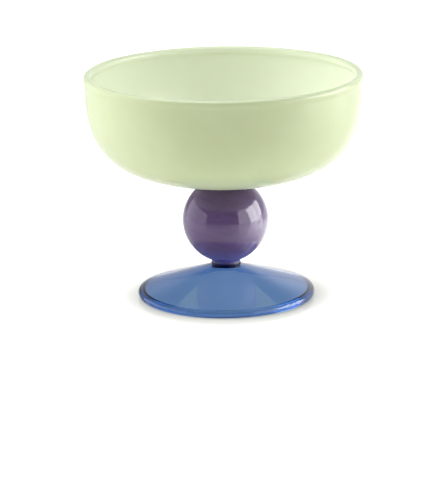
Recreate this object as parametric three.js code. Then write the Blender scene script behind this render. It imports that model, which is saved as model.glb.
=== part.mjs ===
// A footed dessert bowl of coloured glass, in millimetres, with Z up.
//
// Three pieces are made apart and joined hot, one on top of the other: a blue foot, blown as a
// shallow hollow cone, a solid purple ball, which is the stem, and a blown jade green bowl.
// At each of the two joints a thin wafer of melted glass holds its neighbours together.
// The origin is the middle of the ring that the foot stands on.

import * as THREE from "three";

// Driving dimensions of the bowl
const RIM_DIAMETER = 97.5; // over the bead round the mouth
const BOWL_HEIGHT = 37.6; // from the flat under the base to the top of the rim
const BOWL_WALL = 1.6;
const BOWL_BASE_THICKNESS = 1.9; // in the middle, where the glass gathers
const BASE_FULLNESS = 0.9; // share of the way out that the base runs on before it turns up
const WALL_FULLNESS = 0.55; // share of the way down that the wall runs on before it turns in
const RIM_BEAD_DIAMETER = 2.6; // the edge melts into a round bead, thicker than the wall
const RIM_BEAD_OVERHANG = 0.3; // how far the bead stands out from the wall
const RIM_BLEND_HEIGHT = 2.4; // over which the wall swells into the bead
const BASE_FLAT_MARGIN = 0.3; // how far the flat under the base reaches past the joint

// Driving dimensions of the ball
const BALL_DIAMETER = 30.3;
const NECK_LENGTH = 0.3; // straight stretch under the ball, below its fillet
const NECK_FILLET_RADIUS = 1; // where the ball draws in to its neck

// Driving dimensions of the two joints
const UPPER_JOINT_DIAMETER = 13.6;
const UPPER_WAFER_THICKNESS = 1.7;
const LOWER_JOINT_DIAMETER = 10.3;
const LOWER_WAFER_THICKNESS = 1.1;
const WAFER_BULGE = 0.15; // how far a wafer's side swells out half way up

// Driving dimensions of the foot
const FOOT_DIAMETER = 62.6;
const FOOT_HEIGHT = 11; // from the table to the flat that carries the ball
const FOOT_WALL = 1.6;
const FOOT_EDGE_DIAMETER = 2.8; // of the round bead that the edge melts into
const REST_RING_WIDTH = 1.2; // ground flat under the edge
const HUB_FILLET_WIDTH = 0.9; // the flank turns up to the joint in a hollow fillet
const HUB_FILLET_DROP = 0.4;

// Steps round the axis, and along each kind of curve of an outline
const ROUND_STEPS = 60;
const WALL_STEPS = 12;
const BLEND_STEPS = 3;
const BEAD_STEPS = 6;
const BALL_STEPS = 16;
const FILLET_STEPS = 4;
const SAME_POINT = 1e-6;

// Sizes that follow from these
const rimRadius = RIM_DIAMETER / 2;
const ballRadius = BALL_DIAMETER / 2;
const upperJointRadius = UPPER_JOINT_DIAMETER / 2;
const lowerJointRadius = LOWER_JOINT_DIAMETER / 2;
const neckFilletReach = lowerJointRadius + NECK_FILLET_RADIUS;
const ballMiddle = NECK_LENGTH + Math.sqrt((ballRadius + NECK_FILLET_RADIUS) ** 2 - neckFilletReach ** 2);
const ballHeight = ballMiddle + Math.sqrt(ballRadius ** 2 - upperJointRadius ** 2);

const at = (radius, height) => new THREE.Vector2(radius, height);

function bend(from, leave, arrive, to, steps) {
  return new THREE.CubicBezierCurve(from, leave, arrive, to).getPoints(steps);
}

function arc(middle, radius, startAngle, endAngle, steps) {
  const { x, y } = middle;
  const clockwise = endAngle < startAngle;
  return new THREE.EllipseCurve(x, y, radius, radius, startAngle, endAngle, clockwise).getPoints(steps);
}

// A curve that leaves its start and meets its end along the lines to a corner
function rounded(from, corner, to) {
  return new THREE.QuadraticBezierCurve(from, corner, to).getPoints(FILLET_STEPS);
}

// A swell between two radii that leaves and arrives upright
function swell(from, to, steps) {
  const half = (from.y + to.y) / 2;
  return bend(from, at(from.x, half), at(to.x, half), to, steps);
}

// Turns an outline of (radius, height) points round the Z axis. It starts and ends on the axis,
// and runs up the outside, so that the faces point out.
function turned(outline) {
  const points = outline.filter((p, i) => i === 0 || p.distanceTo(outline[i - 1]) > SAME_POINT);
  return new THREE.LatheGeometry(points, ROUND_STEPS).rotateX(Math.PI / 2);
}

// Where the straight line from a point outside a circle touches it, on the circle's upper side
function touchAbove(point, middle, radius) {
  const distance = point.distanceTo(middle);
  const towards = Math.atan2(point.y - middle.y, point.x - middle.x);
  return towards - Math.acos(radius / distance);
}

function bowlGeometry() {
  const flat = upperJointRadius + BASE_FLAT_MARGIN;
  const beadRadius = RIM_BEAD_DIAMETER / 2;
  const bead = at(rimRadius - beadRadius, BOWL_HEIGHT - beadRadius);
  const wallTop = bead.y - RIM_BLEND_HEIGHT;
  const outer = rimRadius - RIM_BEAD_OVERHANG;
  const inner = outer - BOWL_WALL;

  // The side from the flat of the base up to the wall's top, at one radius and base height
  const side = (radius, base) => [
    at(flat, base),
    at(flat + BASE_FULLNESS * (radius - flat), base),
    at(radius, wallTop - WALL_FULLNESS * (wallTop - base)),
    at(radius, wallTop),
  ];
  return turned([
    at(0, 0),
    ...bend(...side(outer, 0), WALL_STEPS),
    ...swell(at(outer, wallTop), at(rimRadius, bead.y), BLEND_STEPS),
    ...arc(bead, beadRadius, 0, Math.PI, BEAD_STEPS),
    ...swell(at(rimRadius - RIM_BEAD_DIAMETER, bead.y), at(inner, wallTop), BLEND_STEPS),
    ...bend(...side(inner, BOWL_BASE_THICKNESS).reverse(), WALL_STEPS),
    at(0, BOWL_BASE_THICKNESS),
  ]);
}

function ballGeometry() {
  const middle = at(0, ballMiddle);
  const fillet = at(neckFilletReach, NECK_LENGTH);
  const filletToBall = Math.atan2(middle.y - fillet.y, -fillet.x);
  const lowest = Math.atan2(fillet.y - middle.y, fillet.x);
  const highest = Math.acos(upperJointRadius / ballRadius);
  return turned([
    at(0, 0),
    at(lowerJointRadius, 0),
    ...arc(fillet, NECK_FILLET_RADIUS, Math.PI, filletToBall, FILLET_STEPS),
    ...arc(middle, ballRadius, lowest, highest, BALL_STEPS),
    at(0, ballHeight),
  ]);
}

function waferGeometry(radius, thickness) {
  const swollen = at(radius + 2 * WAFER_BULGE, thickness / 2);
  return turned([at(0, 0), ...rounded(at(radius, 0), swollen, at(radius, thickness)), at(0, thickness)]);
}

function footGeometry() {
  const edgeRadius = FOOT_EDGE_DIAMETER / 2;
  const halfRest = REST_RING_WIDTH / 2;
  const edge = at(FOOT_DIAMETER / 2 - edgeRadius, Math.sqrt(edgeRadius ** 2 - halfRest ** 2));
  const restOutside = Math.atan2(-edge.y, halfRest);
  const restInside = Math.PI - restOutside;

  // The flank is straight, from its top to where it touches the bead of the edge
  const flankTop = at(lowerJointRadius + HUB_FILLET_WIDTH, FOOT_HEIGHT - HUB_FILLET_DROP);
  const touch = touchAbove(flankTop, edge, edgeRadius);
  const slope = 1 / Math.tan(touch);
  const filletCorner = at(lowerJointRadius, flankTop.y + HUB_FILLET_WIDTH * slope);

  // The hollow follows it one wall further in. It ends at the bead's inner side and, past the
  // flank's top, rises on for half the way to the axis, where it rounds off.
  const hollowMeetsBead = touch + Math.acos((edgeRadius - FOOT_WALL) / edgeRadius);
  const hollowTop = at(flankTop.x - FOOT_WALL * Math.cos(touch), flankTop.y - FOOT_WALL * Math.sin(touch));
  const peak = at(hollowTop.x / 2, hollowTop.y + (hollowTop.x / 2) * slope);
  return turned([
    ...rounded(at(0, peak.y), peak, hollowTop),
    ...arc(edge, edgeRadius, hollowMeetsBead, restInside, BEAD_STEPS),
    ...arc(edge, edgeRadius, restOutside, touch, BEAD_STEPS),
    ...rounded(flankTop, filletCorner, at(lowerJointRadius, FOOT_HEIGHT)),
    at(0, FOOT_HEIGHT),
  ]);
}

// The pieces from the table up, each with its geometry, its height and its glass
const pieces = [
  {
    name: "foot",
    geometry: footGeometry(),
    height: FOOT_HEIGHT,
    glass: { color: "#6484b4", roughness: 0.05, transparent: true, opacity: 0.6 },
  },
  {
    name: "foot_joint_wafer",
    geometry: waferGeometry(lowerJointRadius, LOWER_WAFER_THICKNESS),
    height: LOWER_WAFER_THICKNESS,
    glass: { color: "#1a1d4c", roughness: 0.05 },
  },
  {
    name: "ball_stem",
    geometry: ballGeometry(),
    height: ballHeight,
    glass: { color: "#6d5c92", roughness: 0.08 },
  },
  {
    name: "bowl_joint_wafer",
    geometry: waferGeometry(upperJointRadius, UPPER_WAFER_THICKNESS),
    height: UPPER_WAFER_THICKNESS,
    glass: { color: "#4b4264", roughness: 0.08 },
  },
  {
    name: "bowl",
    geometry: bowlGeometry(),
    height: BOWL_HEIGHT,
    glass: { color: "#d6e3b8", roughness: 0.12 },
  },
];

const dessertBowl = new THREE.Group();
let stacked = 0;
for (const { name, geometry, height, glass } of pieces) {
  const mesh = new THREE.Mesh(geometry, new THREE.MeshStandardMaterial({ metalness: 0, ...glass }));
  mesh.name = name;
  mesh.position.z = stacked;
  dessertBowl.add(mesh);
  stacked += height;
}

export default dessertBowl;
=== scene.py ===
# A footed dessert bowl of coloured glass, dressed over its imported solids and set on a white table.

import math

import bpy
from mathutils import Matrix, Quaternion, Vector, noise
from mathutils.geometry import interpolate_bezier


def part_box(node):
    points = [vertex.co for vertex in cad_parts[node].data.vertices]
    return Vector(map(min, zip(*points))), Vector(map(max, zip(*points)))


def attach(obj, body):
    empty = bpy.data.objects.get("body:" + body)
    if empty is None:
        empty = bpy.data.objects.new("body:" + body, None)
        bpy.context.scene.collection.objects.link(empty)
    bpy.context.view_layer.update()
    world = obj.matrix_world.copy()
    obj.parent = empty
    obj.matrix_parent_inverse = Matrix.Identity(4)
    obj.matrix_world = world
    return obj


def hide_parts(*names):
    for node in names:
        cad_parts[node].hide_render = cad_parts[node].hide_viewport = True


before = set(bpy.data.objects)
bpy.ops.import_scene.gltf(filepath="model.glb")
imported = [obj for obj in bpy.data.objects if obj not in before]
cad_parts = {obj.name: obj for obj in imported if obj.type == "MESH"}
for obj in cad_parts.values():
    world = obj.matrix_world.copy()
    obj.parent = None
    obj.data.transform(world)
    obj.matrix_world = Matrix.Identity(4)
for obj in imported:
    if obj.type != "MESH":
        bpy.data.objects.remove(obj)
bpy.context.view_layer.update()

MM = 0.001

# Sizes of the glass that the frame's boxes don't give, in millimetres
BOWL_WALL = 1.6
BOWL_BASE_THICKNESS = 1.9
BASE_FULLNESS = 0.9  # share of the way out that the base runs on before it turns up
WALL_FULLNESS = 0.55  # share of the way down that the wall runs on before it turns in
RIM_BEAD_DIAMETER = 2.6
RIM_BEAD_OVERHANG = 0.3
RIM_BLEND_HEIGHT = 2.4
BASE_FLAT_MARGIN = 0.3
NECK_LENGTH = 0.3
NECK_FILLET_RADIUS = 1.0
WAFER_BULGE = 0.15
FOOT_WALL = 1.6
FOOT_EDGE_DIAMETER = 2.8
REST_RING_WIDTH = 1.2
HUB_FILLET_WIDTH = 0.9
HUB_FILLET_DROP = 0.4

# How far glass that was turned by hand strays from a true circle, in millimetres
BOWL_WOBBLE = 0.12
FOOT_WOBBLE = 0.06
WOBBLE_LENGTH = 30.0  # of one swell

# How finely the round pieces are drawn
ROUND_STEPS = 192
CURVE_STEPS = 28
BEAD_STEPS = 14
BALL_STEPS = 56
SAME_POINT = 0.001  # millimetres
SHARP_EDGE = 50.0  # degrees past which an edge isn't shaded smooth

# Colours of the glass
JADE_OUTSIDE = ("#d0dbad", "#d4dfb5")  # between its clouds and in them
# Painted light: a paler jade painted on the inside and on faces that look up, for the brighter light
# there
JADE_PAINTED_INSIDE_LIGHT = "#ecf2dd"
# Painted shade: the rim's top is painted darker, against the light from above
JADE_RIM_TOP_PAINTED_SHADE = "#c8d4b0"
BALL_PURPLE = ("#5f4a76", "#67517f")  # between its streaks and in them
# Painted light: the ball is painted bluer towards the neck, for the blue light from the foot below
NECK_PAINTED_FOOT_LIGHT = "#665cb4"
NECK_NAVY = "#14144c"
UPPER_JOINT_PURPLE = ("#4b4264", "#5a5268")  # at its bottom and at its top
LOWER_JOINT_NAVY = ("#03063c", "#0c0c4c")  # at its bottom and at its top
FOOT_BLUE = "#75b4df"
FOOT_ABSORPTION = 740.0  # per metre of glass

# Where the colours change and what their patterns measure, in millimetres
# Painted shade on the rim's top fades in between these depths
RIM_PAINTED_SHADE_DEPTH = (2.2, 0.8)  # below the rim's highest point, from where to where its top darkens
# Painted light from the foot reaches this high up the ball
NECK_PAINTED_LIGHT_HEIGHT = 8.0  # over the joint, up to which the ball is bluer
NECK_NAVY_HEIGHT = (0.9, 0.1)  # over the joint, from where to where the neck turns navy
MILK_DEPTH = 0.8  # to which light runs about in the milky wall
CLOUD_SIZE = 24.0
CLOUD_RELIEF = 0.05  # by which the surface rises and falls with the pattern
STREAK_SIZE = 12.0
STREAK_FLATNESS = 4.0  # how many times as wide as high a streak is
STREAK_RELIEF = 0.02
PUDDLE_SIZE = 2.5
PUDDLE_RELIEF = 0.03
RIPPLE_SIZE = 9.0
RIPPLE_RELIEF = 0.05

# The photograph's camera: millimetres and degrees
CAMERA_AIM = (-0.987, 0.0, 19.525)
CAMERA_DISTANCE = 943.7
CAMERA_ELEVATION = 15.128
CAMERA_ROLL = -0.8
CAMERA_LENS = 199.56
CAMERA_SENSOR = 36.0

# The studio: metres, and light against a white of 1
FLOOR_SIZE = 6.0
FLOOR_GAP = 0.05  # millimetres, so that the glass and the table don't share a face
ROOM_LIGHT = 0.08  # from the camera's side of the room
BACKDROP_TOP = (20.0, 40.0)  # degrees over which the mirrored backdrop ends upwards
BACKDROP_LIGHT = (0.36, 1.0)  # of the mirrored backdrop, from its left to its right
BACKDROP_SIDES = (-0.3, 0.15)  # sines of the directions between which it changes
BACKDROP_EDGE = 0.2  # sine of the angle to either side over which it goes over into the room
TABLE_WHITE = "#d8d8d6"
TABLE_LIFT = (0.2, 0.75)  # light of the table's own, under the foot and clear of it
TABLE_LIFT_REACH = (0.031, 0.045)  # distances from the axis between which it changes
TABLE_GLOW = 0.42  # share of that light which reaches the object
TABLE_MIRRORED = (0.36, 1.0)  # share of it that gloss shows, on the left and on the right
TABLE_SIDES = (-0.02, 0.12)  # from where to where it changes from the one to the other
LAMP_WATTS = 4.0  # per square metre of a lamp that shows as white

# Lamps that light the object and show in its gloss
PANELS = {
    "left": {"place": (-0.6, 0.045, 0.16), "size": (0.99, 0.3), "light": 1.0, "faces": (1, 0, 0)},
    "top": {"place": (0, 0.1, 0.9), "size": (0.9, 0.9), "light": 1.8, "faces": (0, 0, -1)},
}

# Lamps that light it and don't show in its gloss
FILLS = {
    "side": {"place": (0.6, 0.03, 0.16), "size": (0.62, 0.3), "light": 2.0, "faces": (-1, 0, 0)},
    "left": {"place": (-0.6, -0.05, 0.5), "size": (1.0, 0.7), "light": 1.75, "faces": (0.6, 0, -0.44)},
    "right": {"place": (0.6, -0.05, 0.5), "size": (1.0, 0.7), "light": 0.8, "faces": (-0.6, 0, -0.44)},
}

# Cards that show in its gloss and don't light it
CARDS = {
    "right": {
        "place": (0.583, 0.101, 0.137),
        "size": (0.622, 0.392),
        "light": 5.1,
        "faces": (-0.786, 0.424, -0.451),
        "roll": 14.0,
    },
    "right_front": {"place": (0.4, -0.2, 0.16), "size": (0.5, 0.3), "light": 2.1, "faces": (-1, 0.4, 0)},
}

# A card on the table that lights the ball alone
BOUNCE = {"place": (0.085, 0.01, 0.004), "size": (0.23, 0.23), "light": 1.55, "faces": (0, 0, 1)}


def extents(node_name):
    """A round node's radius, lowest and highest point, in millimetres."""
    low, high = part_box(node_name)
    return high.x / MM, low.z / MM, high.z / MM


rim_radius, bowl_low, bowl_high = extents("bowl")
upper_wafer_radius, upper_wafer_low, upper_wafer_high = extents("bowl_joint_wafer")
ball_radius, ball_low, ball_high = extents("ball_stem")
lower_wafer_radius, lower_wafer_low, lower_wafer_high = extents("foot_joint_wafer")
foot_radius, foot_low, foot_high = extents("foot")
upper_joint_radius = upper_wafer_radius - WAFER_BULGE
lower_joint_radius = lower_wafer_radius - WAFER_BULGE


# Outlines, as (radius, height) points in millimetres

PARABOLA_KNOTS = 2 / 3  # share of the way to a parabola's corner at which a cubic's knots draw it


def bend(start, leave, arrive, end, steps=CURVE_STEPS):
    knots = [Vector((*point, 0)) for point in (start, leave, arrive, end)]
    return [(p.x, p.y) for p in interpolate_bezier(*knots, steps + 1)]


def round_off(start, corner, end, steps=BEAD_STEPS):
    """A parabola that leaves its start and meets its end along the lines to a corner."""
    leave = [s + (c - s) * PARABOLA_KNOTS for s, c in zip(start, corner)]
    arrive = [e + (c - e) * PARABOLA_KNOTS for e, c in zip(end, corner)]
    return bend(start, leave, arrive, end, steps)


def swell(start, end, steps=BEAD_STEPS):
    """A change of radius that leaves and arrives upright."""
    half = (start[1] + end[1]) / 2
    return bend(start, (start[0], half), (end[0], half), end, steps)


def straight(start, end):
    """A straight stretch with points along it, closer together at its ends."""
    return bend(start, start, end, end)


def arc(middle, radius, start, end, steps=BEAD_STEPS):
    angles = [start + (end - start) * i / steps for i in range(steps + 1)]
    return [(middle[0] + radius * math.cos(a), middle[1] + radius * math.sin(a)) for a in angles]


def bowl_outline():
    flat = upper_joint_radius + BASE_FLAT_MARGIN
    bead_radius = RIM_BEAD_DIAMETER / 2
    bead = (rim_radius - bead_radius, bowl_high - bead_radius)
    wall_top = bead[1] - RIM_BLEND_HEIGHT
    outer = rim_radius - RIM_BEAD_OVERHANG
    inner = outer - BOWL_WALL
    floor = bowl_low + BOWL_BASE_THICKNESS

    def side(radius, base):
        return (
            (flat, base),
            (flat + BASE_FULLNESS * (radius - flat), base),
            (radius, wall_top - WALL_FULLNESS * (wall_top - base)),
            (radius, wall_top),
        )

    return [
        (0, bowl_low),
        *bend(*side(outer, bowl_low)),
        *swell((outer, wall_top), (rim_radius, bead[1])),
        *arc(bead, bead_radius, 0, math.pi),
        *swell((rim_radius - RIM_BEAD_DIAMETER, bead[1]), (inner, wall_top)),
        *bend(*reversed(side(inner, floor))),
        (0, floor),
    ]


def ball_outline():
    fillet = (lower_joint_radius + NECK_FILLET_RADIUS, ball_low + NECK_LENGTH)
    middle = (0, fillet[1] + math.sqrt((ball_radius + NECK_FILLET_RADIUS) ** 2 - fillet[0] ** 2))
    fillet_end = math.atan2(middle[1] - fillet[1], -fillet[0])
    lowest = math.atan2(fillet[1] - middle[1], fillet[0])
    highest = math.acos(upper_joint_radius / ball_radius)
    return [
        (0, ball_low),
        (lower_joint_radius, ball_low),
        *arc(fillet, NECK_FILLET_RADIUS, math.pi, fillet_end),
        *arc(middle, ball_radius, lowest, highest, BALL_STEPS),
        (0, ball_high),
    ]


def wafer_outline(radius, low, high):
    swollen = (radius + 2 * WAFER_BULGE, (low + high) / 2)
    return [(0, low), *round_off((radius, low), swollen, (radius, high)), (0, high)]


def foot_outline():
    edge_radius = FOOT_EDGE_DIAMETER / 2
    half_rest = REST_RING_WIDTH / 2
    edge = (foot_radius - edge_radius, foot_low + math.sqrt(edge_radius**2 - half_rest**2))
    rest_outside = math.atan2(foot_low - edge[1], half_rest)
    rest_inside = math.pi - rest_outside

    # The flank touches the bead of the edge square to this angle
    flank_top = (lower_joint_radius + HUB_FILLET_WIDTH, foot_high - HUB_FILLET_DROP)
    rise = (flank_top[0] - edge[0], flank_top[1] - edge[1])
    touch = math.atan2(rise[1], rise[0]) - math.acos(edge_radius / math.hypot(*rise))
    slope = 1 / math.tan(touch)
    fillet_corner = (lower_joint_radius, flank_top[1] + HUB_FILLET_WIDTH * slope)

    # The hollow lies one wall further in
    meets_bead = touch + math.acos((edge_radius - FOOT_WALL) / edge_radius)
    hollow_top = (flank_top[0] - FOOT_WALL * math.cos(touch), flank_top[1] - FOOT_WALL * math.sin(touch))
    peak = (hollow_top[0] / 2, hollow_top[1] + hollow_top[0] / 2 * slope)
    inside = arc(edge, edge_radius, meets_bead, rest_inside)
    outside = arc(edge, edge_radius, rest_outside, touch)
    return [
        *round_off((0, peak[1]), peak, hollow_top),
        *straight(hollow_top, inside[0]),
        *inside,
        *outside,
        *straight(outside[-1], flank_top),
        *round_off(flank_top, fillet_corner, (lower_joint_radius, foot_high)),
        (0, foot_high),
    ]


# Pieces


def turned(name, outline, wobble=0.0):
    """Turns an outline round Z into a closed mesh whose circles stray by up to the wobble."""
    points = [outline[0]]
    for point in outline[1:]:
        if math.dist(point, points[-1]) > SAME_POINT:
            points.append(point)

    def vertex(radius, height, angle):
        across = Vector((math.cos(angle), math.sin(angle)))
        swell_place = Vector((across.x * rim_radius, across.y * rim_radius, height)) / WOBBLE_LENGTH
        reach = radius + wobble * noise.noise(swell_place) * radius / rim_radius
        return across.x * reach * MM, across.y * reach * MM, height * MM

    rings = points[1:-1]
    angles = [2 * math.pi * i / ROUND_STEPS for i in range(ROUND_STEPS)]
    vertices = [vertex(radius, height, angle) for radius, height in rings for angle in angles]
    first_pole, last_pole = len(vertices), len(vertices) + 1
    vertices += [(0, 0, points[0][1] * MM), (0, 0, points[-1][1] * MM)]

    faces = []
    last_ring = (len(rings) - 1) * ROUND_STEPS
    for i in range(ROUND_STEPS):
        j = (i + 1) % ROUND_STEPS
        faces.append((first_pole, j, i))
        faces.append((last_pole, last_ring + i, last_ring + j))
        for ring in range(0, last_ring, ROUND_STEPS):
            next_ring = ring + ROUND_STEPS
            faces.append((ring + i, ring + j, next_ring + j, next_ring + i))

    mesh = bpy.data.meshes.new(name)
    mesh.from_pydata(vertices, [], faces)
    mesh.shade_smooth()
    mesh.set_sharp_from_angle(angle=math.radians(SHARP_EDGE))
    piece = bpy.data.objects.new(name, mesh)
    bpy.context.scene.collection.objects.link(piece)
    return piece


# Materials


def linear(hex_colour):
    """An sRGB hex colour as linear red, green, blue and alpha."""
    parts = [int(hex_colour[i : i + 2], 16) / 255 for i in (1, 3, 5)]
    return (*[p / 12.92 if p <= 0.04045 else ((p + 0.055) / 1.055) ** 2.4 for p in parts], 1.0)


def add(tree, kind, values=None, links=None, **settings):
    """Adds a node with its settings, the values of its sockets and the sockets that feed it."""
    made = tree.nodes.new("ShaderNode" + kind)
    for name, setting in settings.items():
        setattr(made, name, setting)
    for socket, value in (values or {}).items():
        made.inputs[socket].default_value = value
    for socket, source in (links or {}).items():
        tree.links.new(source, made.inputs[socket])
    return made


def new_material(name):
    made = bpy.data.materials.new(name)
    made.use_nodes = True
    made.node_tree.nodes.clear()
    return made


def per_metre(size):
    """The scale of a pattern whose features are this many millimetres across."""
    return 1 / (size * MM)


def jade_opal_glass():
    """Opal glass, blown and fire-polished: milky, with light in its wall and soft clouds where the
    gather was folded. The inside and the faces that look up are painted paler, painted light for the
    brighter light inside the bowl, and the rim's top is painted darker, painted shade against the light
    from above."""
    made = new_material("jade_opal_glass_blown")
    tree = made.node_tree
    coordinates = add(tree, "TexCoord").outputs
    place, normal = coordinates["Object"], coordinates["Normal"]
    clouds = add(
        tree,
        "TexNoise",
        {"Scale": per_metre(CLOUD_SIZE), "Detail": 3.0, "Roughness": 0.45},
        {"Vector": place},
    )
    cloud_share = add(
        tree,
        "MapRange",
        {"From Min": 0.35, "From Max": 0.65},
        {"Value": clouds.outputs["Fac"]},
        interpolation_type="SMOOTHSTEP",
    )
    clouded_jade = add(
        tree,
        "Mix",
        {"A": linear(JADE_OUTSIDE[0]), "B": linear(JADE_OUTSIDE[1])},
        {"Factor": cloud_share.outputs["Result"]},
        data_type="RGBA",
    )

    # Painted light: the faces that look up, or in to the axis, are painted paler, for the brighter light
    # inside the bowl
    from_axis = add(tree, "VectorMath", {1: (1.0, 1.0, 0.0)}, {0: place}, operation="MULTIPLY")
    away = add(tree, "VectorMath", links={0: from_axis.outputs["Vector"]}, operation="NORMALIZE")
    outwards = add(
        tree, "VectorMath", links={0: normal, 1: away.outputs["Vector"]}, operation="DOT_PRODUCT"
    )
    upwards = add(tree, "SeparateXYZ", links={"Vector": normal}).outputs["Z"]
    inwards = add(tree, "Math", links={0: upwards, 1: outwards.outputs["Value"]}, operation="SUBTRACT")
    painted_light_share = add(
        tree,
        "MapRange",
        {"From Min": -0.5, "From Max": 0.5},
        {"Value": inwards.outputs["Value"]},
        interpolation_type="SMOOTHSTEP",
    )
    body = add(
        tree,
        "Mix",
        {"B": linear(JADE_PAINTED_INSIDE_LIGHT)},
        {"Factor": painted_light_share.outputs["Result"], "A": clouded_jade.outputs["Result"]},
        data_type="RGBA",
    )

    # The rim's top is painted darker: painted shade against the light from above
    height = add(tree, "SeparateXYZ", links={"Vector": place}).outputs["Z"]
    starts, full = [(bowl_high - depth) * MM for depth in RIM_PAINTED_SHADE_DEPTH]
    near_rim = add(
        tree,
        "MapRange",
        {"From Min": starts, "From Max": full},
        {"Value": height},
        interpolation_type="SMOOTHSTEP",
    )
    painted_rim_shade = add(
        tree,
        "Math",
        links={0: near_rim.outputs["Result"], 1: upwards},
        operation="MULTIPLY",
        use_clamp=True,
    )
    colour = add(
        tree,
        "Mix",
        {"B": linear(JADE_RIM_TOP_PAINTED_SHADE)},
        {"Factor": painted_rim_shade.outputs["Value"], "A": body.outputs["Result"]},
        data_type="RGBA",
    )
    gloss = add(
        tree,
        "MapRange",
        {"From Min": 0.3, "From Max": 0.7, "To Min": 0.18, "To Max": 0.25},
        {"Value": clouds.outputs["Fac"]},
    )
    ripple = add(
        tree,
        "Bump",
        {"Strength": 0.3, "Distance": CLOUD_RELIEF * MM},
        {"Height": clouds.outputs["Fac"]},
    )
    glass = add(
        tree,
        "BsdfPrincipled",
        {
            "IOR": 1.47,
            "Specular IOR Level": 0.45,
            "Subsurface Weight": 0.4,
            "Subsurface Radius": (1.0, 1.1, 0.7),
            "Subsurface Scale": MILK_DEPTH * MM,
        },
        {
            "Base Color": colour.outputs["Result"],
            "Roughness": gloss.outputs["Result"],
            "Normal": ripple.outputs["Normal"],
        },
    )
    add(tree, "OutputMaterial", links={"Surface": glass.outputs["BSDF"]})
    return made


def purple_opal_glass():
    """Dense opal glass, flame-worked on a turning rod: deep, even colour with faint level streaks,
    a wet gloss, and a neck painted bluer, painted blue light from the foot below, that runs into
    navy where it melts into the foot."""
    made = new_material("purple_opal_glass_flame_worked")
    tree = made.node_tree
    place = add(tree, "TexCoord").outputs["Object"]
    drawn = add(tree, "Mapping", {"Scale": (1.0, 1.0, STREAK_FLATNESS)}, {"Vector": place})
    streaks = add(
        tree,
        "TexNoise",
        {"Scale": per_metre(STREAK_SIZE), "Detail": 3.0, "Distortion": 0.6},
        {"Vector": drawn.outputs["Vector"]},
    )
    streak_share = add(
        tree, "MapRange", {"From Min": 0.3, "From Max": 0.7}, {"Value": streaks.outputs["Fac"]}
    )
    body = add(
        tree,
        "Mix",
        {"A": linear(BALL_PURPLE[0]), "B": linear(BALL_PURPLE[1])},
        {"Factor": streak_share.outputs["Result"]},
        data_type="RGBA",
    )
    height = add(tree, "SeparateXYZ", links={"Vector": place}).outputs["Z"]
    near_neck = add(
        tree,
        "MapRange",
        {"From Min": (ball_low + NECK_PAINTED_LIGHT_HEIGHT) * MM, "From Max": ball_low * MM},
        {"Value": height},
        interpolation_type="SMOOTHSTEP",
    )
    # Painted light: bluer towards the neck, for the blue light from the foot below
    painted_foot_light = add(
        tree,
        "Mix",
        {"B": linear(NECK_PAINTED_FOOT_LIGHT)},
        {"Factor": near_neck.outputs["Result"], "A": body.outputs["Result"]},
        data_type="RGBA",
    )
    starts, full = [(ball_low + over_joint) * MM for over_joint in NECK_NAVY_HEIGHT]
    at_joint = add(
        tree,
        "MapRange",
        {"From Min": starts, "From Max": full},
        {"Value": height},
        interpolation_type="SMOOTHSTEP",
    )
    colour = add(
        tree,
        "Mix",
        {"B": linear(NECK_NAVY)},
        {"Factor": at_joint.outputs["Result"], "A": painted_foot_light.outputs["Result"]},
        data_type="RGBA",
    )
    gloss = add(
        tree,
        "MapRange",
        {"From Min": 0.3, "From Max": 0.7, "To Min": 0.03, "To Max": 0.06},
        {"Value": streaks.outputs["Fac"]},
    )
    ripple = add(
        tree,
        "Bump",
        {"Strength": 0.4, "Distance": STREAK_RELIEF * MM},
        {"Height": streaks.outputs["Fac"]},
    )
    glass = add(
        tree,
        "BsdfPrincipled",
        {"IOR": 1.55},
        {
            "Base Color": colour.outputs["Result"],
            "Roughness": gloss.outputs["Result"],
            "Normal": ripple.outputs["Normal"],
        },
    )
    add(tree, "OutputMaterial", links={"Surface": glass.outputs["BSDF"]})
    return made


def joint_glass(name, low, high, lower_colour, upper_colour):
    """Two glasses melted together at a hot joint: one colour runs into the other up the wafer, with
    a slightly puddled surface."""
    made = new_material(name)
    tree = made.node_tree
    place = add(tree, "TexCoord").outputs["Object"]
    puddles = add(tree, "TexNoise", {"Scale": per_metre(PUDDLE_SIZE), "Detail": 2.0}, {"Vector": place})
    height = add(tree, "SeparateXYZ", links={"Vector": place}).outputs["Z"]
    rise = add(
        tree,
        "MapRange",
        {"From Min": low * MM, "From Max": high * MM},
        {"Value": height},
        interpolation_type="SMOOTHSTEP",
    )
    colour = add(
        tree,
        "Mix",
        {"A": linear(lower_colour), "B": linear(upper_colour)},
        {"Factor": rise.outputs["Result"]},
        data_type="RGBA",
    )
    gloss = add(
        tree,
        "MapRange",
        {"From Min": 0.3, "From Max": 0.7, "To Min": 0.04, "To Max": 0.1},
        {"Value": puddles.outputs["Fac"]},
    )
    ripple = add(
        tree,
        "Bump",
        {"Strength": 0.4, "Distance": PUDDLE_RELIEF * MM},
        {"Height": puddles.outputs["Fac"]},
    )
    glass = add(
        tree,
        "BsdfPrincipled",
        {"IOR": 1.5, "Specular IOR Level": 0.12},
        {
            "Base Color": colour.outputs["Result"],
            "Roughness": gloss.outputs["Result"],
            "Normal": ripple.outputs["Normal"],
        },
    )
    add(tree, "OutputMaterial", links={"Surface": glass.outputs["BSDF"]})
    return made


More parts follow.
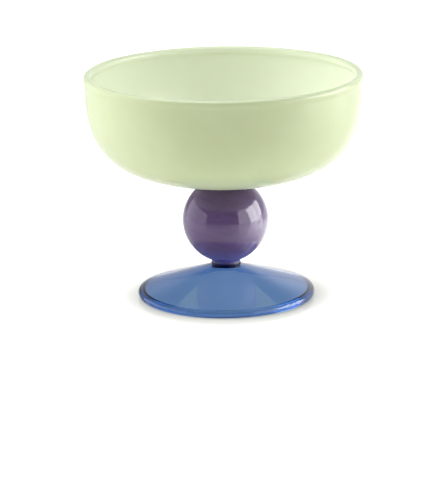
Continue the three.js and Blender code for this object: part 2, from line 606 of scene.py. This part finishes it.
def blue_clear_glass():
    """Clear glass, blown and spun open: its blue deepens with the length of glass that light crosses,
    so the edge reads navy, and a faint ripple from the blowing bends what shows through it."""
    made = new_material("blue_clear_glass_spun")
    tree = made.node_tree
    place = add(tree, "TexCoord").outputs["Object"]
    waves = add(
        tree,
        "TexNoise",
        {"Scale": per_metre(RIPPLE_SIZE), "Detail": 2.0, "Roughness": 0.4},
        {"Vector": place},
    )
    ripple = add(
        tree,
        "Bump",
        {"Strength": 0.5, "Distance": RIPPLE_RELIEF * MM},
        {"Height": waves.outputs["Fac"]},
    )
    glass = add(
        tree,
        "BsdfPrincipled",
        {"Base Color": (1.0, 1.0, 1.0, 1.0), "Roughness": 0.0, "IOR": 1.47, "Transmission Weight": 1.0},
        {"Normal": ripple.outputs["Normal"]},
    )
    depth = add(tree, "VolumeAbsorption", {"Color": linear(FOOT_BLUE), "Density": FOOT_ABSORPTION})
    links = {"Surface": glass.outputs["BSDF"], "Volume": depth.outputs["Volume"]}
    add(tree, "OutputMaterial", links=links)
    return made


def dress(piece, node_name, material):
    piece.data.materials.append(material)
    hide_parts(node_name)
    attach(piece, "root")


dress(turned("bowl_glass", bowl_outline(), BOWL_WOBBLE), "bowl", jade_opal_glass())
dress(
    turned("bowl_joint_glass", wafer_outline(upper_joint_radius, upper_wafer_low, upper_wafer_high)),
    "bowl_joint_wafer",
    joint_glass("purple_joint_glass_melted", upper_wafer_low, upper_wafer_high, *UPPER_JOINT_PURPLE),
)
dress(turned("ball_glass", ball_outline()), "ball_stem", purple_opal_glass())
dress(
    turned("foot_joint_glass", wafer_outline(lower_joint_radius, lower_wafer_low, lower_wafer_high)),
    "foot_joint_wafer",
    joint_glass("navy_joint_glass_melted", lower_wafer_low, lower_wafer_high, *LOWER_JOINT_NAVY),
)
dress(turned("foot_glass", foot_outline(), FOOT_WOBBLE), "foot", blue_clear_glass())


# Studio


def looked_at(tree):
    """A share that is 1 where the camera looks, straight or through glass."""
    rays = add(tree, "LightPath").outputs
    direct, through = rays["Is Camera Ray"], rays["Is Transmission Ray"]
    return add(tree, "Math", links={0: direct, 1: through}, operation="MAXIMUM").outputs["Value"]


def white_table():
    """White acrylic, polished. Light of its own lifts it to white where it is looked at, less under
    the foot, so that the shadow stays. A share of that light reaches the object, and gloss shows
    a share that grows from the left to the right."""
    made = new_material("white_acrylic_polished")
    tree = made.node_tree
    place = add(tree, "TexCoord").outputs["Object"]
    distance = add(tree, "VectorMath", links={0: place}, operation="LENGTH")
    clear = add(
        tree,
        "MapRange",
        {
            "From Min": TABLE_LIFT_REACH[0],
            "From Max": TABLE_LIFT_REACH[1],
            "To Min": TABLE_LIFT[0],
            "To Max": TABLE_LIFT[1],
        },
        {"Value": distance.outputs["Value"]},
    )
    side = add(
        tree,
        "MapRange",
        {
            "From Min": TABLE_SIDES[0],
            "From Max": TABLE_SIDES[1],
            "To Min": TABLE_MIRRORED[0],
            "To Max": TABLE_MIRRORED[1],
        },
        {"Value": add(tree, "SeparateXYZ", links={"Vector": place}).outputs["X"]},
        interpolation_type="SMOOTHSTEP",
    )
    mirror = add(tree, "LightPath").outputs["Is Glossy Ray"]
    lit = add(tree, "Mix", {"A": TABLE_GLOW}, {"Factor": mirror, "B": side.outputs["Result"]})
    share = add(
        tree, "Math", links={0: lit.outputs["Result"], 1: looked_at(tree)}, operation="MAXIMUM"
    )
    lift = add(
        tree, "Math", links={0: share.outputs["Value"], 1: clear.outputs["Result"]}, operation="MULTIPLY"
    )
    surface = add(
        tree,
        "BsdfPrincipled",
        {"Base Color": linear(TABLE_WHITE), "Roughness": 0.12, "Emission Color": (1.0, 1.0, 1.0, 1.0)},
        {"Emission Strength": lift.outputs["Value"]},
    )
    add(tree, "OutputMaterial", links={"Surface": surface.outputs["BSDF"]})
    return made


def make_floor():
    half = FLOOR_SIZE / 2
    mesh = bpy.data.meshes.new("table_top")
    corners = [(-half, -half, 0), (half, -half, 0), (half, half, 0), (-half, half, 0)]
    mesh.from_pydata(corners, [], [(0, 1, 2, 3)])
    floor = bpy.data.objects.new("table_top", mesh)
    floor.location.z = -FLOOR_GAP * MM
    bpy.context.scene.collection.objects.link(floor)
    mesh.materials.append(white_table())


def make_world():
    """White where it is looked at. Gloss shows a backdrop behind the object that ends upwards and
    dims to the left, and the camera's side of the room gives a little light."""
    world = bpy.data.worlds.new("white_studio")
    world.use_nodes = True
    tree = world.node_tree
    tree.nodes.clear()
    direction = add(tree, "SeparateXYZ", links={"Vector": add(tree, "TexCoord").outputs["Generated"]})
    behind = add(
        tree,
        "MapRange",
        {"From Min": -BACKDROP_EDGE, "From Max": BACKDROP_EDGE},
        {"Value": direction.outputs["Y"]},
        interpolation_type="SMOOTHSTEP",
    ).outputs["Result"]
    low, high = (math.sin(math.radians(angle)) for angle in BACKDROP_TOP)
    under_top = add(
        tree,
        "MapRange",
        {"From Min": high, "From Max": low},
        {"Value": direction.outputs["Z"]},
        interpolation_type="SMOOTHSTEP",
    )
    across = add(
        tree,
        "MapRange",
        {
            "From Min": BACKDROP_SIDES[0],
            "From Max": BACKDROP_SIDES[1],
            "To Min": BACKDROP_LIGHT[0],
            "To Max": BACKDROP_LIGHT[1],
        },
        {"Value": direction.outputs["X"]},
    )
    reach = add(tree, "Math", links={0: behind, 1: under_top.outputs["Result"]}, operation="MULTIPLY")
    backdrop = add(
        tree,
        "Math",
        links={0: reach.outputs["Value"], 1: across.outputs["Result"]},
        operation="MULTIPLY",
    )
    mirror = add(tree, "LightPath").outputs["Is Glossy Ray"]
    mirrored = add(tree, "Math", links={0: mirror, 1: backdrop.outputs["Value"]}, operation="MULTIPLY")
    seen = add(
        tree, "Math", links={0: mirrored.outputs["Value"], 1: looked_at(tree)}, operation="MAXIMUM"
    ).outputs["Value"]
    room = add(tree, "MapRange", {"To Min": ROOM_LIGHT, "To Max": 0.0}, {"Value": behind})
    light = add(tree, "Math", links={0: seen, 1: room.outputs["Result"]}, operation="MAXIMUM")
    sky = add(tree, "Background", {"Color": (1.0, 1.0, 1.0, 1.0)}, {"Strength": light.outputs["Value"]})
    add(tree, "OutputWorld", links={"Surface": sky.outputs["Background"]})
    bpy.context.scene.world = world


def make_softbox(name, place, size, light, faces, roll=0.0):
    """A panel of light; its light is against a white of 1."""
    lamp = bpy.data.lights.new(name, "AREA")
    lamp.shape = "RECTANGLE"
    lamp.size, lamp.size_y = size
    lamp.energy = light * LAMP_WATTS * size[0] * size[1]
    box = bpy.data.objects.new(name, lamp)
    box.location = place
    box.rotation_mode = "QUATERNION"
    turn = Quaternion((0, 0, 1), math.radians(roll))
    box.rotation_quaternion = Vector(faces).to_track_quat("-Z", "Y") @ turn
    box.visible_camera = False
    bpy.context.scene.collection.objects.link(box)
    return box


def make_bounce(lit_piece):
    """A card on the table that fades out to its edges, flagged so that it lights one piece alone."""
    box = make_softbox("bounce_card", **BOUNCE)
    box.visible_transmission = False
    box.data.use_nodes = True
    tree = box.data.node_tree
    tree.nodes.clear()

    # Over the card the place runs from 0 to 1 each way, so that its middle is at a half
    place = add(tree, "NewGeometry").outputs["Parametric"]
    half = 0.5
    reach = add(tree, "VectorMath", {1: (half, half, 0.0)}, {0: place}, operation="DISTANCE")
    fade = add(
        tree,
        "MapRange",
        {"From Min": half, "From Max": 0.0},
        {"Value": reach.outputs["Value"]},
        interpolation_type="SMOOTHSTEP",
    )
    glow = add(tree, "Emission", links={"Strength": fade.outputs["Result"]})
    add(tree, "OutputLight", links={"Surface": glow.outputs["Emission"]})
    lit = bpy.data.collections.new("lit_by_bounce_card")
    lit.objects.link(lit_piece)
    box.light_linking.receiver_collection = lit


def make_camera():
    elevation = math.radians(CAMERA_ELEVATION)
    back = Vector((0, -math.cos(elevation), math.sin(elevation)))
    data = bpy.data.cameras.new("photograph")
    data.lens = CAMERA_LENS
    data.sensor_width = CAMERA_SENSOR
    camera = bpy.data.objects.new("photograph", data)
    camera.location = (Vector(CAMERA_AIM) + back * CAMERA_DISTANCE) * MM
    camera.rotation_mode = "QUATERNION"
    roll = Quaternion((0, 0, 1), math.radians(CAMERA_ROLL))
    camera.rotation_quaternion = (-back).to_track_quat("-Z", "Y") @ roll
    bpy.context.scene.collection.objects.link(camera)
    bpy.context.scene.camera = camera


make_floor()
make_world()
for panel_name, panel in PANELS.items():
    make_softbox("softbox_" + panel_name, **panel)
for fill_name, fill in FILLS.items():
    make_softbox("fill_" + fill_name, **fill).visible_glossy = False
for card_name, card in CARDS.items():
    make_softbox("reflection_card_" + card_name, **card).visible_diffuse = False
make_bounce(bpy.data.objects["ball_glass"])
make_camera()
bpy.context.scene.view_settings.view_transform = "Standard"
